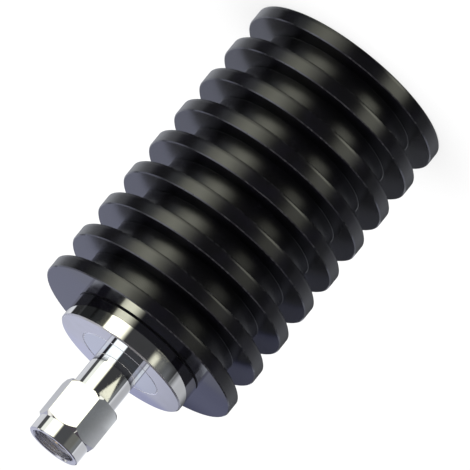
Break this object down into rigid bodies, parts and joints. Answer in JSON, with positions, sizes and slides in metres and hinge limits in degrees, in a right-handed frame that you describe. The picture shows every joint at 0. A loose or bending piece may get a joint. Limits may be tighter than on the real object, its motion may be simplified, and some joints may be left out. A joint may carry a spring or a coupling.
{
  "type": "rf dummy load",
  "caption": "Coaxial RF dummy load: a black round-finned heat sink with a polished flange and a coaxial plug whose hexagon coupling nut turns freely.",
  "frame": {"origin": "centre of the heat sink's flat closed end, on which the part stands", "axes": "+Z along the part's axis, from the closed end towards the plug's mouth; the part is round about Z apart from the nut's hexagon"},
  "size_m": [0.0308, 0.0308, 0.0653],
  "materials": {
    "black_anodised": "satin",
    "nickel_plate": "polished",
    "spring_bronze": "satin",
    "silicone": "matte",
    "fluoropolymer": "matte",
    "gold_plate": "polished",
    "film_ceramic": "satin",
    "tin_plate": "satin",
    "bare_brass": "satin"
  },
  "bodies": {
    "load": {"heat_sink": "black_anodised", "mounting_flange": "nickel_plate", "connector_body": "nickel_plate", "retaining_ring": "spring_bronze", "gasket": "silicone", "insulator": "fluoropolymer", "contact_pin": "gold_plate", "resistor_rod": "film_ceramic", "front_end_cap": "tin_plate", "rear_end_cap": "tin_plate", "load_sleeve": "bare_brass", "ground_plug": "bare_brass", "ground_collet": "spring_bronze"},
    "nut": {"coupling_nut": "nickel_plate"}
  },
  "joints": [
    {"name": "nut_spin", "type": "hinge", "parent": "load", "child": "nut", "pos_m": [0, 0, 0.0568], "axis": [0, 0, 1], "continuous": true}
  ]
}
